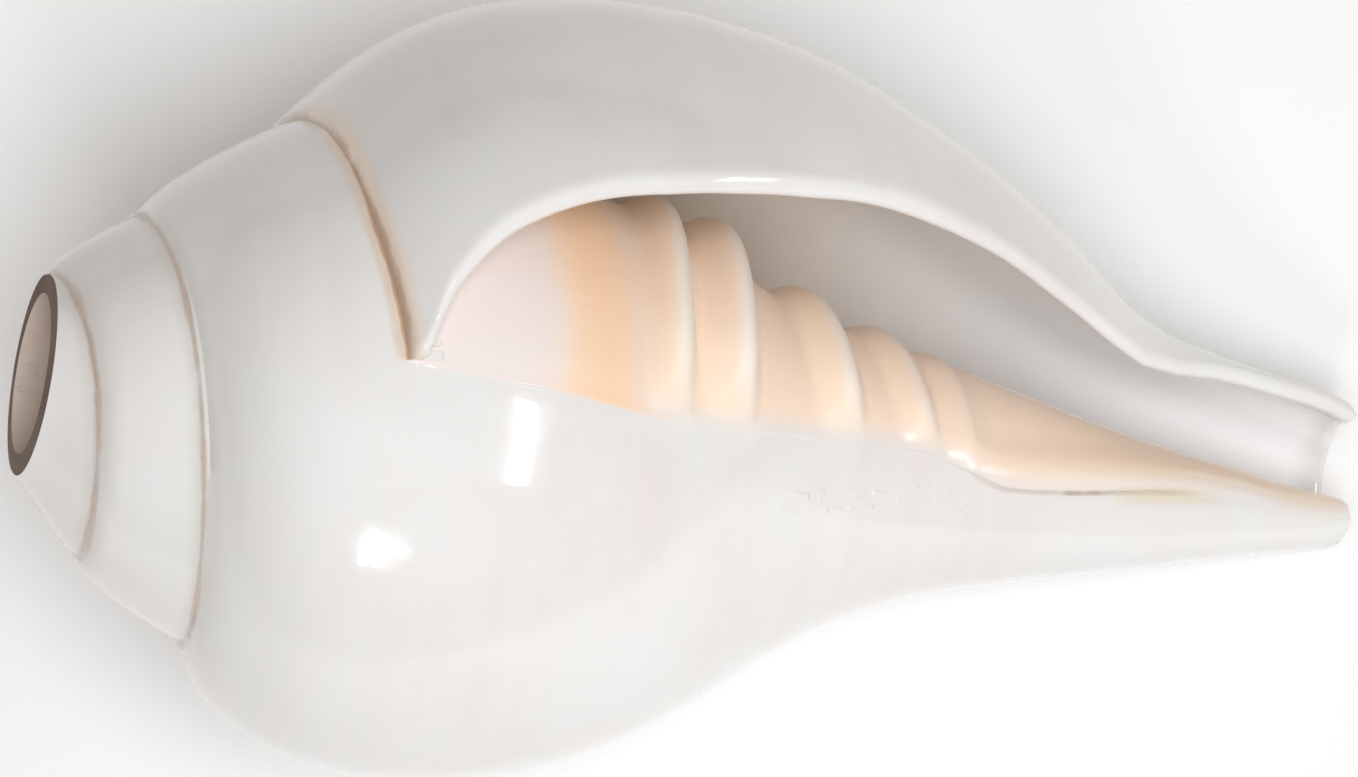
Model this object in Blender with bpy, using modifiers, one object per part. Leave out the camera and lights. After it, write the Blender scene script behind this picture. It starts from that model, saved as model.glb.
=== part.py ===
"""Blowing conch, a sacred chank shell with its apex sawn off: one hollow, right-handed spiral of shell.

The shell is drawn in its own frame, in millimetres: u runs along the axis from the point where the
spiral would end to the tip of the canal, the height h points up in the aperture's view, and z points
out of the aperture. It is then laid on its back, as it rests, with +Z up.
"""

import math

import bmesh
import bpy
import numpy as np
from mathutils import Matrix, Vector

MM = 0.001

# Spiral: one turn enlarges the shell this much, and the suture passes here at the lip.
TURN_GROWTH = 1.525
SUTURE_U = 49.23
CORNER_PHI = 84.0
LAST_ANGLE = -4.2
DEEPEST_ANGLE = -1240.0
# Drift of the suture line from the pure spiral, along the axis.
SUTURE_DRIFT = ((-1300, 0), (-804, 0), (-714, 1.0), (-624, 0.4), (-534, -0.7), (-444, -1.2),
                (-354, -0.5), (-264, 0), (-174, 0.4), (-84, 0.6), (-35, 1.0), (-4, 2.3), (360, 2.3))

# Length and the canal's bend off the axis.
TIP_U = 169.0
CANAL_DROP = 5.3
CANAL_BEND_FROM = 97.0
CANAL_BEND_OVER = 50.0

# Outlines as (u, radius) at growth angles back from the lip: the last whorl's and the columella's.
OUTLINES = {
    0: ((49.2, 34.8), (50.8, 37.4), (53, 39.6), (59, 43.6), (67, 47.1), (76, 49.6), (83, 50),
        (91, 49), (99, 47), (108, 44), (117, 40.6), (125, 36.6), (133, 31), (141, 24.5),
        (149, 20.4), (157, 17.4), (166, 14.8), (170, 13.4)),
    -84: ((44.6, 31.5), (46.2, 33.6), (48, 35.4), (52.3, 39.2), (56.6, 42.1), (61, 44.3),
          (65.4, 45.8), (70, 46.6), (76.5, 47.1), (83.6, 46.7), (92.8, 45.1), (102.2, 42.5),
          (111.7, 38.8), (121.4, 34.6), (131.2, 28.8), (136.2, 24.9), (141, 21.4), (146, 19.4),
          (155.6, 16.4), (165.3, 14), (170, 12.2)),
    -174: ((40.1, 28.4), (41.6, 31.2), (44.4, 34.8), (49, 38.6), (55, 41.6), (61, 43.2),
           (67, 43.6), (75, 43), (83, 41), (91, 38), (99, 34.6), (107, 31), (115, 27),
           (123, 22.8), (131, 18.4), (139, 14.8), (147, 12.6), (155, 11), (163, 9.8), (170, 8.6)),
    -264: ((36.1, 25.6), (37, 28.2), (38.4, 30.8), (43.1, 34.9), (47.7, 37.3), (52.2, 38.6),
           (58, 39.5), (65.8, 39.3), (74.8, 38), (83.7, 35), (92.6, 30.3), (101.4, 24.3),
           (110.4, 18.7), (119.5, 14.3), (128.8, 11.1), (142.8, 7.4), (156.9, 5), (166, 3.6),
           (170, 2.6)),
    -354: ((32.7, 23.1), (33.6, 25.4), (35.6, 28.6), (39.2, 32.2), (43.6, 34.6), (49, 36),
           (55, 36.6), (61, 36.2), (69, 34.6), (77, 32.2), (85, 28.8), (93, 24.8), (101, 21),
           (109, 17.9), (117, 15.4), (127, 12.7), (137, 10.2), (147, 8.2), (156, 6.2),
           (165, 3.8), (170, 2.6)),
    -444: ((29.2, 20.7), (30.9, 23), (35.2, 26.4), (39.5, 29), (44.6, 31.5), (49, 32.8),
           (55, 32.8), (61, 31.4), (69, 28.7), (77, 25.9), (83.5, 23.6), (90.2, 20.9),
           (98.2, 15.8), (108, 12.8), (116.2, 11.9), (127.5, 10.7), (139.5, 8.4), (151.5, 5.5),
           (163.6, 2.6), (170, 1.8)),
}
SPIRE_ANGLE = -444
KEY_ANGLES = (-534.0, -444.0, -354.0, -264.0, -174.0, -84.0, 0.0)
PILLAR_RADIUS = 1.8

# Folds on the columella: station deep inside, station at the front, height, reach back, reach ahead.
FOLDS = ((86.2, 82.8, 2.9, 4.2, 2.4), (93.2, 90.7, 4.2, 4.6, 3.2), (103.1, 105.0, 2.9, 3.6, 2.8),
         (111.8, 114.7, 2.0, 3.0, 2.4), (118.5, 120.0, 1.0, 2.4, 2.0))
FOLDS_START = -352.0
FOLDS_FULL = -378.0
FOLD_SHIFTS_FROM = -354.0
FOLD_SHIFTS_OVER = 90.0

# Free edge of the outer lip as (u, growth angle), and the cavity's front end as (angle, u).
LIP_EDGE = ((51.2, -4.2), (55, -15), (62, -23), (70, -25.8), (81, -27), (92, -28.7), (105, -31.5),
            (117, -32.5), (126, -31), (133, -31), (140, -36), (147, -48), (155, -61), (163, -68),
            (170, -72))
LIP_REACH = 150.0
LIP_EDGE_READ_AT = 30.0
CANAL_CLOSES = -250.0
CAVITY_END = ((-620, 65), (-444, 105), (-354, 121), (-300, 140), (-264, 160), (-250, 169))

# Wall, its seat on the whorl before, and how both narrow along the canal and towards the lip.
WALL = 3.9
WALL_AT_CANAL = 0.65
THINS_FROM_U = 95.0
THINS_OVER = 40.0
WALL_AT_LIP = 0.7
SEAT = 4.6
SEAT_AT_LIP = 0.6
LIP_THINS_OVER = 60.0
EDGE_BLUNT = 0.6

# Hollow: points its wall is offset from, its slope off the seat, its least height, its rounded end.
OFFSET_POINTS = np.linspace(0, 1, 80) ** 1.6
SEAT_SLOPE = 0.3
LEAST_HOLLOW = 0.5
ROUNDED_END = 0.17

# The apex, worn narrower on its lower side, the saw cut and the blow hole.
APEX_PINCH = 0.34
PINCH_BELOW_U = 25.0
PINCH_OVER = 9.0
SAW_U = 17.7
SAW_TILT = math.radians(5.9)
SAW_BLOCK = Vector((60, 90, 90))
HOLE_HEIGHT = 2.7
BLOW_HOLE = ((0, 46), (3.5, 45), (6, 42), (7.8, 36), (8.5, 26), (8.8, 17.7), (9.2, 8), (0, 8))

# Pose at rest: on its back and the tip of its canal.
REST_UP = Vector((-0.3410, 0.1571, 0.9269))

# Mesh: sections in one turn, and rows across the whorl.
SECTIONS = 30
SAME_POINT = 1e-7
SHOULDER_ROWS = (0, 0.07, 0.2, 0.43, 0.7, 1)
PARIETAL_ROWS = (0, 0.35, 0.7)
CANAL_ROWS = (0.16, 0.42, 0.7, 1)

SHELL_WHITE = (0.82, 0.79, 0.75, 1)


def growth(angle):
    """Size at this growth angle, against 1 at the lip."""
    return TURN_GROWTH ** (angle / 360)


def ease(x):
    """Smooth step from 0 to 1."""
    x = np.clip(x, 0, 1)
    return x * x * (3 - 2 * x)


def tangents(x, y):
    """Slopes of a curve through points that never overshoots them."""
    step = np.diff(x).reshape((-1,) + (1,) * (y.ndim - 1))
    slope = np.diff(y, axis=0) / step
    tangent = np.zeros_like(y)
    tangent[0], tangent[-1] = slope[0], slope[-1]
    near = 2 * step[1:] + step[:-1]
    far = 2 * step[:-1] + step[1:]
    same = slope[:-1] * slope[1:] > 0
    first = np.where(same, slope[:-1], 1)
    second = np.where(same, slope[1:], 1)
    tangent[1:-1] = np.where(same, (near + far) / (near / first + far / second), 0)
    return tangent


def hermite(x, y, at):
    """Smooth curve through the rows of y at x, read at one place or at an array of places."""
    tangent = tangents(x, y)
    at = np.clip(at, x[0], x[-1])
    k = np.clip(np.searchsorted(x, at, side="right") - 1, 0, len(x) - 2)
    step = x[k + 1] - x[k]
    t = (at - x[k]) / step
    start = (1 + 2 * t) * (1 - t) ** 2 * y[k] + t * (1 - t) ** 2 * step * tangent[k]
    return start + t * t * (3 - 2 * t) * y[k + 1] + t * t * (t - 1) * step * tangent[k + 1]


def through(points, at):
    """Smooth curve through a short list of points, read at the given places."""
    table = np.array(sorted(points), float)
    return hermite(table[:, 0], table[:, 1], at)


def suture(angle):
    """Station of the suture at a growth angle."""
    return SUTURE_U * growth(angle) + float(through(SUTURE_DRIFT, angle))


def near_lip(angle):
    """Rises from 0 to 1 as the wall comes to the lip."""
    return float(ease((angle + LIP_THINS_OVER) / LIP_THINS_OVER))


def seat(angle):
    """Station where the inside of a whorl's wall meets the whorl before, past its suture."""
    narrow = 1 - (1 - SEAT_AT_LIP) * near_lip(angle)
    return suture(angle) + SEAT * growth(angle) * narrow


def canal_axis(u):
    """Height of the canal's middle line, which bends away from the shell's axis."""
    return -CANAL_DROP * ease((u - CANAL_BEND_FROM) / CANAL_BEND_OVER)


def spire_radius(angle, u):
    """Radius of a whorl of the spire and its columella: one outline, scaled by growth."""
    size = growth(angle - SPIRE_ANGLE)
    radius = through(OUTLINES[SPIRE_ANGLE], u / size) * size
    return np.maximum(radius, PILLAR_RADIUS)


def last_whorl_radius(angle, u):
    """Radius of the last whorl, blended between the outlines on each side of the angle."""
    start, join = suture(angle), suture(angle + 360)
    across = np.where(u <= join, (u - start) / (join - start), 1 + (u - join) / (TIP_U - join))
    rows = []
    for key in KEY_ANGLES:
        first, last = suture(key), suture(key + 360)
        u_key = np.where(
            across <= 1, first + (last - first) * across, last + (TIP_U - last) * (across - 1)
        )
        if key < SPIRE_ANGLE:
            rows.append(spire_radius(key, u_key) / growth(key))
        else:
            rows.append(through(OUTLINES[int(key)], u_key) / growth(key))
    return hermite(np.array(KEY_ANGLES), np.array(rows), angle) * growth(angle)


def fold_station(fold, angle):
    """Station of a fold's crest at a growth angle."""
    deep, front = fold[:2]
    size = growth(min(angle - SPIRE_ANGLE, 0))
    inwards = float(ease((FOLD_SHIFTS_FROM - angle) / FOLD_SHIFTS_OVER))
    return (front + (deep - front) * inwards) * size


def fold_relief(angle, u):
    """Height that the folds stand out from the columella."""
    size = growth(min(angle - SPIRE_ANGLE, 0))
    relief = np.zeros_like(u)
    for fold in FOLDS:
        height, behind, ahead = fold[2:]
        off = (u - fold_station(fold, angle)) / size
        reach = np.where(off < 0, behind, ahead)
        relief += height * size * np.clip(1 - (off / reach) ** 2, 0, 1) ** 1.5
    return relief * ease((FOLDS_START - angle) / (FOLDS_START - FOLDS_FULL))


def outer_radius(angle, u):
    """Radius of the outer surface, with the folds and the worn apex."""
    if angle <= SPIRE_ANGLE:
        radius = spire_radius(angle, u)
    else:
        radius = last_whorl_radius(angle, u)
    low_side = (1 - math.cos(math.radians(CORNER_PHI + angle))) / 2
    pinch = APEX_PINCH * low_side * ease((PINCH_BELOW_U - u) / PINCH_OVER)
    return (radius + fold_relief(angle, u)) * (1 - pinch)


def wall(angle, u):
    """Thickness of the outer wall."""
    thin_canal = 1 - (1 - WALL_AT_CANAL) * ease((u - THINS_FROM_U) / THINS_OVER) * (angle > -360)
    thin_lip = 1 - (1 - WALL_AT_LIP) * near_lip(angle)
    return WALL * growth(angle) ** 0.9 * thin_canal * thin_lip


def cavity_end(angle):
    """Station where the hollow under the wall ends towards the canal."""
    if angle >= CANAL_CLOSES:
        return TIP_U
    if angle >= SPIRE_ANGLE:
        return float(through(CAVITY_END, angle))
    return float(through(CAVITY_END, SPIRE_ANGLE)) * growth(angle - SPIRE_ANGLE)


def inner_radius(angle, u, end):
    """Radius of the hollow's outer side: a wall's thickness in, and never under the whorl before."""
    start = suture(angle)
    along = start + (end - start) * OFFSET_POINTS
    radius = outer_radius(angle, along)
    du, dr = np.gradient(along), np.gradient(radius)
    inwards = wall(angle, along) / np.hypot(du, dr)
    moved = along + inwards * dr
    order = np.argsort(moved)
    offset = np.interp(u, moved[order], (radius - inwards * du)[order])
    floor = outer_radius(angle - 360, u)
    least = np.minimum(SEAT_SLOPE * (u - seat(angle)), LEAST_HOLLOW)
    hollow = np.maximum(offset - floor, least)
    if end < TIP_U:
        close = ROUNDED_END * (end - seat(angle))
        hollow *= np.sqrt(np.clip(1 - np.clip((u - end + close) / close, 0, 1) ** 2, 0, 1))
    return floor + hollow


def base_stations(angle, end):
    """Rows from the seat of the next whorl's wall, over the folds, to the end."""
    first = seat(angle + 360)
    size = growth(min(angle - SPIRE_ANGLE, 0))
    crests = [fold_station(fold, angle) for fold in FOLDS]
    foot = crests[0] - FOLDS[0][3] * size
    rows = [first + (foot - first) * part for part in PARIETAL_ROWS]
    rows.append(foot)
    for crest, fold in zip(crests, FOLDS):
        rows += [crest, crest + 0.8 * fold[4] * size]
    return rows + [rows[-1] + (end - rows[-1]) * part for part in CANAL_ROWS]


def stations(angle, end):
    """Stations of every row at a growth angle."""
    start, join = suture(angle), suture(angle + 360)
    shoulder = [start + (join - start) * part for part in SHOULDER_ROWS]
    return np.array(shoulder + base_stations(angle, end))


def hollow_stations(angle, end):
    """Stations of every row on the inside of the wall, from its seat on the whorl before."""
    start, join = suture(angle), suture(angle + 360)
    u = stations(angle, TIP_U)
    shoulder = seat(angle) + (u - start) * (join - seat(angle)) / (join - start)
    base = join + (u - join) * (end - join) / (TIP_U - join)
    return np.where(u <= join, shoulder, base)


def sections():
    """Outer and inner surface as tables of station, radius and angle for each section and row."""
    step = 360 / SECTIONS
    count = round(-DEEPEST_ANGLE / step)
    closed = round((LAST_ANGLE - CANAL_CLOSES) / step)
    outer, inner = [], []
    for j in range(count + 1):
        angle = LAST_ANGLE - step * j
        end = TIP_U if j <= closed + SECTIONS else cavity_end(angle + 360)
        u = stations(angle, end)
        outer.append((u, outer_radius(angle, u), np.full(len(u), angle)))
        if j <= count - SECTIONS:
            end = TIP_U if j < closed else cavity_end(angle)
            u = hollow_stations(angle, end)
            inner.append((u, inner_radius(angle, u, end), np.full(len(u), angle)))
    return np.array(outer), np.array(inner), closed


def sheared(table, lip_back):
    """The sections near the lip, slanted so that the first one follows the lip's free edge."""
    angles = table[:, 2, 0]
    slanted = table.copy()
    for j, angle in enumerate(angles):
        if angle <= -LIP_REACH:
            break
        part = (LAST_ANGLE - angle) / (LIP_REACH + LAST_ANGLE)
        aim = -(lip_back + (LIP_REACH - lip_back) * part)
        for row, at in enumerate(aim):
            slanted[j, 0, row] = np.interp(-at, -angles, table[:, 0, row])
            slanted[j, 1, row] = np.interp(-at, -angles, table[:, 1, row])
            slanted[j, 2, row] = at
    return slanted


def placed(table):
    """Points of a table of station, radius and angle, in millimetres."""
    u, radius, angle = table[:, 0], table[:, 1], np.radians(CORNER_PHI + table[:, 2])
    height = canal_axis(u) + radius * np.cos(angle)
    return np.stack([u, height, radius * np.sin(angle)], axis=-1)


def surfaces():
    """Points of the outer and inner surface, with every seam on the same points."""
    outer, inner, closed = sections()
    lip_back = -through(LIP_EDGE, outer[round(LIP_EDGE_READ_AT * SECTIONS / 360), 0])
    outer, inner = placed(sheared(outer, lip_back)), placed(sheared(inner, lip_back))
    join = len(SHOULDER_ROWS) - 1
    for j in range(len(inner)):
        outer[j, 0] = outer[j + SECTIONS, join]
        inner[j, 0] = outer[j + SECTIONS, join + 1]
        if j >= closed:
            inner[j, -1] = outer[j + SECTIONS, -1]
    blunt_edge(outer, inner, closed)
    return outer, inner, closed


def blunt_edge(outer, inner, closed):
    """Draws the two surfaces together along the free edge, which rounds it."""
    rim = [(0, row) for row in range(1, outer.shape[1])]
    rim += [(j, -1) for j in range(1, closed)]
    for place in rim:
        middle = (outer[place] + inner[place]) / 2
        outer[place] = middle + (outer[place] - middle) * EDGE_BLUNT
        inner[place] = middle + (inner[place] - middle) * EDGE_BLUNT


def add_sheet(bm, points):
    """Lays a grid over a table of points and returns its vertices by section and row."""
    columns, rows = points.shape[:2]
    made = bmesh.ops.create_grid(bm, x_segments=columns - 1, y_segments=rows - 1, size=0.5)
    by_place = {}
    for vert in made["verts"]:
        column = round((vert.co.x + 0.5) * (columns - 1))
        row = round((vert.co.y + 0.5) * (rows - 1))
        by_place[column, row] = vert
    for place, vert in by_place.items():
        vert.co = Vector(points[place]) * MM
    return by_place


def under_the_wall(bm, sheet, join):
    """Faces of the outer sheet that the next whorl's wall is seated on."""
    hidden = {vert: place[1] for place, vert in sheet.items()
              if place[0] >= SECTIONS and place[1] in (join, join + 1)}
    return [face for face in bm.faces if all(vert in hidden for vert in face.verts)]


def shell_mesh(rest):
    """The closed shell, before the apex is sawn off."""
    outer, inner, closed = surfaces()
    bm = bmesh.new()
    outside, inside = add_sheet(bm, outer), add_sheet(bm, inner)
    last = outer.shape[1] - 1
    edge_places = [(0, row) for row in range(last + 1)] + [(j, last) for j in range(1, closed + 1)]
    rims = []
    for sheet in (outside, inside):
        for near, far in zip(edge_places, edge_places[1:]):
            rims.append(bm.edges.get((sheet[near], sheet[far])))
    seats = under_the_wall(bm, outside, len(SHOULDER_ROWS) - 1)
    bmesh.ops.bridge_loops(bm, edges=rims)
    bmesh.ops.delete(bm, geom=seats, context="FACES")
    bmesh.ops.remove_doubles(bm, verts=bm.verts, dist=SAME_POINT)
    open_edges = [edge for edge in bm.edges if edge.is_boundary]
    bmesh.ops.holes_fill(bm, edges=open_edges, sides=0)
    bmesh.ops.triangulate(bm, faces=bm.faces)
    bmesh.ops.recalc_face_normals(bm, faces=bm.faces)
    bmesh.ops.transform(bm, matrix=rest, verts=bm.verts)
    mesh = bpy.data.meshes.new("shell")
    bm.to_mesh(mesh)
    bm.free()
    mesh.shade_smooth()
    mesh.set_sharp_from_angle(angle=math.radians(50))
    return mesh


def rest_turn():
    """Turns the drawing frame into the pose at rest, with the canal towards +X."""
    up = REST_UP.normalized()
    along = (Vector((1, 0, 0)) - up * up.x).normalized()
    return Matrix((along, up.cross(along), up)).to_4x4()


def clear_scene():
    """Removes the objects of the startup scene."""
    for item in list(bpy.data.objects):
        bpy.data.objects.remove(item, do_unlink=True)


def new_collection(name, in_render):
    """A collection in the scene, for the shell or for its cutters."""
    collection = bpy.data.collections.new(name)
    collection.hide_render = not in_render
    bpy.context.scene.collection.children.link(collection)
    return collection


def polished_shell():
    """Polished white shell."""
    material = bpy.data.materials.new("polished_shell")
    material.use_nodes = True
    shader = material.node_tree.nodes["Principled BSDF"]
    shader.inputs["Base Color"].default_value = SHELL_WHITE
    shader.inputs["Roughness"].default_value = 0.22
    shader.inputs["Metallic"].default_value = 0
    return material


def saw_mesh():
    """Block whose +X face is the saw cut."""
    bm = bmesh.new()
    bmesh.ops.create_cube(bm, size=1)
    bmesh.ops.scale(bm, vec=SAW_BLOCK * MM, verts=bm.verts)
    bmesh.ops.translate(bm, vec=Vector((-SAW_BLOCK.x / 2, 0, 0)) * MM, verts=bm.verts)
    mesh = bpy.data.meshes.new("apex_saw")
    bm.to_mesh(mesh)
    bm.free()
    return mesh


def blow_hole_mesh():
    """Half outline of the blow hole, from outside the cut to its rounded end."""
    bm = bmesh.new()
    outline = [bm.verts.new((radius * MM, 0, -u * MM)) for radius, u in reversed(BLOW_HOLE)]
    for near, far in zip(outline, outline[1:]):
        bm.edges.new((near, far))
    mesh = bpy.data.meshes.new("blow_hole")
    bm.to_mesh(mesh)
    bm.free()
    return mesh


def turned(cutter):
    """Turns the outline round its own Z axis."""
    screw = cutter.modifiers.new("turn", "SCREW")
    screw.axis = "Z"
    screw.steps = screw.render_steps = 24
    screw.use_merge_vertices = True
    screw.merge_threshold = 1e-5
    screw.use_smooth_shade = True


def add_cutter(name, mesh, place, collection):
    """A hidden cutter at its place."""
    cutter = bpy.data.objects.new(name, mesh)
    cutter.matrix_world = place
    cutter.hide_render = True
    cutter.display_type = "WIRE"
    collection.objects.link(cutter)
    return cutter


def cut(piece, cutter):
    """Takes the cutter's shape out of the piece."""
    boolean = piece.modifiers.new(cutter.name, "BOOLEAN")
    boolean.operation = "DIFFERENCE"
    boolean.solver = "EXACT"
    boolean.object = cutter


def set_on_floor(piece, cutters):
    """Puts the origin under the middle of the finished shell, at its lowest point."""
    bpy.context.view_layer.update()
    finished = piece.evaluated_get(bpy.context.evaluated_depsgraph_get())
    corners = np.array([vert.co for vert in finished.data.vertices])
    low, high = corners.min(axis=0), corners.max(axis=0)
    shift = Matrix.Translation(-Vector(((low[0] + high[0]) / 2, (low[1] + high[1]) / 2, low[2])))
    piece.data.transform(shift)
    for cutter in cutters:
        cutter.matrix_world = shift @ cutter.matrix_world


def main():
    clear_scene()
    shells = new_collection("conch_shell", True)
    cutters = new_collection("cutters", False)
    rest = rest_turn()
    shell = bpy.data.objects.new("shell", shell_mesh(rest))
    shell.data.materials.append(polished_shell())
    shells.objects.link(shell)
    sawn = Matrix.Translation(Vector((SAW_U, 0, 0)) * MM) @ Matrix.Rotation(-SAW_TILT, 4, "Z")
    saw = add_cutter("apex_saw", saw_mesh(), rest @ sawn, cutters)
    bore = Matrix.Translation(Vector((0, HOLE_HEIGHT, 0)) * MM)
    bore = bore @ Matrix.Rotation(-math.pi / 2, 4, "Y")
    blow_hole = add_cutter("blow_hole", blow_hole_mesh(), rest @ bore, cutters)
    turned(blow_hole)
    cut(shell, saw)
    cut(shell, blow_hole)
    set_on_floor(shell, (saw, blow_hole))


main()
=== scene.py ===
import math

import bmesh
import bpy
import numpy as np
from mathutils import Matrix, Vector, kdtree


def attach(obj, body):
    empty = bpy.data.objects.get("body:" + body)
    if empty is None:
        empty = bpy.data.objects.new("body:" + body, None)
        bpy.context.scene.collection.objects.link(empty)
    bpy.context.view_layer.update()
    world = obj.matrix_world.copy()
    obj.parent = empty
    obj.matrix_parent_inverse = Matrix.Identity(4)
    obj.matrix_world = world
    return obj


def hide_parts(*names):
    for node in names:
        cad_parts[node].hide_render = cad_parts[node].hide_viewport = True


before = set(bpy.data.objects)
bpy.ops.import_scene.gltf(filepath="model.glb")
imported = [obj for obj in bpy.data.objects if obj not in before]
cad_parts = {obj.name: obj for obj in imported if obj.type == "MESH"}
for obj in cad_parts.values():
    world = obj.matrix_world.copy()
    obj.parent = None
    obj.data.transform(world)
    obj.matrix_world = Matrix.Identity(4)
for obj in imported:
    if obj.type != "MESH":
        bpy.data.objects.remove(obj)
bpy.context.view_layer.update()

# A polished blowing conch, lying on its back. The shell is drawn in its own frame, in millimetres:
# u runs along the axis from the point where the spiral would end to the tip of the canal, the
# height h points up in the aperture's view, and z points out of the aperture.

MM = 0.001

# Spiral
TURN_GROWTH = 1.525
SUTURE_U = 49.23
CORNER_PHI = 84.0
LAST_ANGLE = -4.2
DEEPEST_ANGLE = -1240.0
SUTURE_DRIFT = ((-1300, 0), (-804, 0), (-714, 1.0), (-624, 0.4), (-534, -0.7), (-444, -1.2),
                (-354, -0.5), (-264, 0), (-174, 0.4), (-84, 0.6), (-35, 1.0), (-4, 2.3), (360, 2.3))

# Length and the canal's bend off the axis
TIP_U = 169.0
CANAL_DROP = 5.3
CANAL_BEND_FROM = 97.0
CANAL_BEND_OVER = 50.0

# Outlines as (u, radius) at growth angles back from the lip: the last whorl's and the columella's
OUTLINES = {
    0: ((49.2, 34.8), (50.8, 37.4), (53, 39.6), (59, 43.6), (67, 47.1), (76, 49.6), (83, 50),
        (91, 49), (99, 47), (108, 44), (117, 40.6), (125, 36.6), (133, 31), (141, 24.5),
        (149, 20.4), (157, 17.4), (166, 14.8), (170, 13.4)),
    -84: ((44.6, 31.5), (46.2, 33.6), (48, 35.4), (52.3, 39.2), (56.6, 42.1), (61, 44.3),
          (65.4, 45.8), (70, 46.6), (76.5, 47.1), (83.6, 46.7), (92.8, 45.1), (102.2, 42.5),
          (111.7, 38.8), (121.4, 34.6), (131.2, 28.8), (136.2, 24.9), (141, 21.4), (146, 19.4),
          (155.6, 16.4), (165.3, 14), (170, 12.2)),
    -174: ((40.1, 28.4), (41.6, 31.2), (44.4, 34.8), (49, 38.6), (55, 41.6), (61, 43.2),
           (67, 43.6), (75, 43), (83, 41), (91, 38), (99, 34.6), (107, 31), (115, 27),
           (123, 22.8), (131, 18.4), (139, 14.8), (147, 12.6), (155, 11), (163, 9.8), (170, 8.6)),
    -264: ((36.1, 25.6), (37, 28.2), (38.4, 30.8), (43.1, 34.9), (47.7, 37.3), (52.2, 38.6),
           (58, 39.5), (65.8, 39.3), (74.8, 38), (83.7, 35), (92.6, 30.3), (101.4, 24.3),
           (110.4, 18.7), (119.5, 14.3), (128.8, 11.1), (142.8, 7.4), (156.9, 5), (166, 3.6),
           (170, 2.6)),
    -354: ((32.7, 23.1), (33.6, 25.4), (35.6, 28.6), (39.2, 32.2), (43.6, 34.6), (49, 36),
           (55, 36.6), (61, 36.2), (69, 34.6), (77, 32.2), (85, 28.8), (93, 24.8), (101, 21),
           (109, 17.9), (117, 15.4), (127, 12.7), (137, 10.2), (147, 8.2), (156, 6.2),
           (165, 3.8), (170, 2.6)),
    -444: ((29.2, 20.7), (30.9, 23), (35.2, 26.4), (39.5, 29), (44.6, 31.5), (49, 32.8),
           (55, 32.8), (61, 31.4), (69, 28.7), (77, 25.9), (83.5, 23.6), (90.2, 20.9),
           (98.2, 15.8), (108, 12.8), (116.2, 11.9), (127.5, 10.7), (139.5, 8.4), (151.5, 5.5),
           (163.6, 2.6), (170, 1.8)),
}
SPIRE_ANGLE = -444
KEY_ANGLES = (-534.0, -444.0, -354.0, -264.0, -174.0, -84.0, 0.0)
PILLAR_RADIUS = 1.8

# Folds on the columella: station deep inside, station at the front, height, reach back and ahead,
# how steeply each side falls, and the growth angles where they set in
FOLDS = ((86.2, 82.8, 2.9, 5.2, 1.7), (93.2, 90.7, 4.1, 5.8, 2.1), (103.1, 105.0, 2.7, 5.0, 1.9),
         (111.8, 114.7, 1.6, 4.2, 1.7), (118.5, 120.0, 0.6, 3.4, 1.5))
BACK_FALLS = 1.7
FRONT_FALLS = 0.95
FOLDS_START = -352.0
FOLDS_FULL = -378.0
FOLD_SHIFTS_FROM = -354.0
FOLD_SHIFTS_OVER = 90.0

# Cream along the folds: each fold's share, and where it sets in behind the crest and ends in front
CREAM_ON_FOLDS = (1.0, 1.0, 0.8, 0.45, 0.2)
CREAM_FROM = -1.9
CREAM_RISES_OVER = 1.6
CREAM_PAST_FRONT = 0.4
CREAM_FALLS_OVER = 0.7

# Free edge of the outer lip as (u, growth angle), how far back the sections slant to meet it and
# where its rows are read, then where the canal closes and the cavity's front end as (angle, u)
LIP_EDGE = ((51.2, -4.2), (55, -15), (62, -23), (70, -25.8), (81, -27), (92, -28.7), (105, -31.5),
            (117, -32.5), (126, -31), (133, -31), (140, -36), (147, -48), (155, -61), (163, -68),
            (170, -72))
LIP_REACH = 150.0
LIP_EDGE_READ_AT = 32.4
CANAL_CLOSES = -250.0
CAVITY_END = ((-620, 65), (-444, 105), (-354, 121), (-300, 140), (-264, 160), (-250, 169))

# Wall, its seat on the whorl before, and how both narrow along the canal and towards the lip
WALL = 3.9
WALL_GROWTH = 0.9
WALL_AT_CANAL = 0.65
THINS_FROM_U = 95.0
THINS_OVER = 40.0
WALL_AT_LIP = 0.7
SEAT = 4.6
SEAT_AT_LIP = 0.12
LIP_THINS_OVER = 60.0

# The hollow: where its wall is measured, how it opens from its seat, and how its end closes
OFFSET_POINTS = np.linspace(0, 1, 200) ** 1.6
SEAT_SLOPE = 0.3
LEAST_HOLLOW = 0.5
ROUNDED_END = 0.17

# Rounding of the columella's end, and of the free edge: how many sections and rows are drawn in,
# the least half thickness, and the rows over which the edge leaves the whorl before
TIP_ROUNDING = 1.3
TIP_ROUNDING_DEPTH = 0.8
EDGE_REACH = 12
THIN_EDGE = 0.2
EDGE_LIES_OVER = 8

# The apex, worn narrower on its lower side, the saw cut, and the blow hole as (radius, u)
APEX_PINCH = 0.34
PINCH_BELOW_U = 25.0
PINCH_OVER = 9.0
SAW_U = 17.7
SAW_TILT = math.radians(5.9)
SAW_BLOCK = Vector((60, 90, 90))
HOLE_HEIGHT = 2.7
HOLE_BACK = -0.7
BLOW_HOLE = ((0, 46), (3.5, 45), (6, 42), (7.8, 36), (8.5, 26), (8.8, 17.7), (9.2, 8), (0, 8))
HOLE_CUTS = 3
HOLE_STEPS = 72
HOLE_SAME_POINT = 1e-6

# Pose at rest: on its back and the tip of its canal
REST_UP = Vector((-0.3410, 0.1571, 0.9269))

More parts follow.
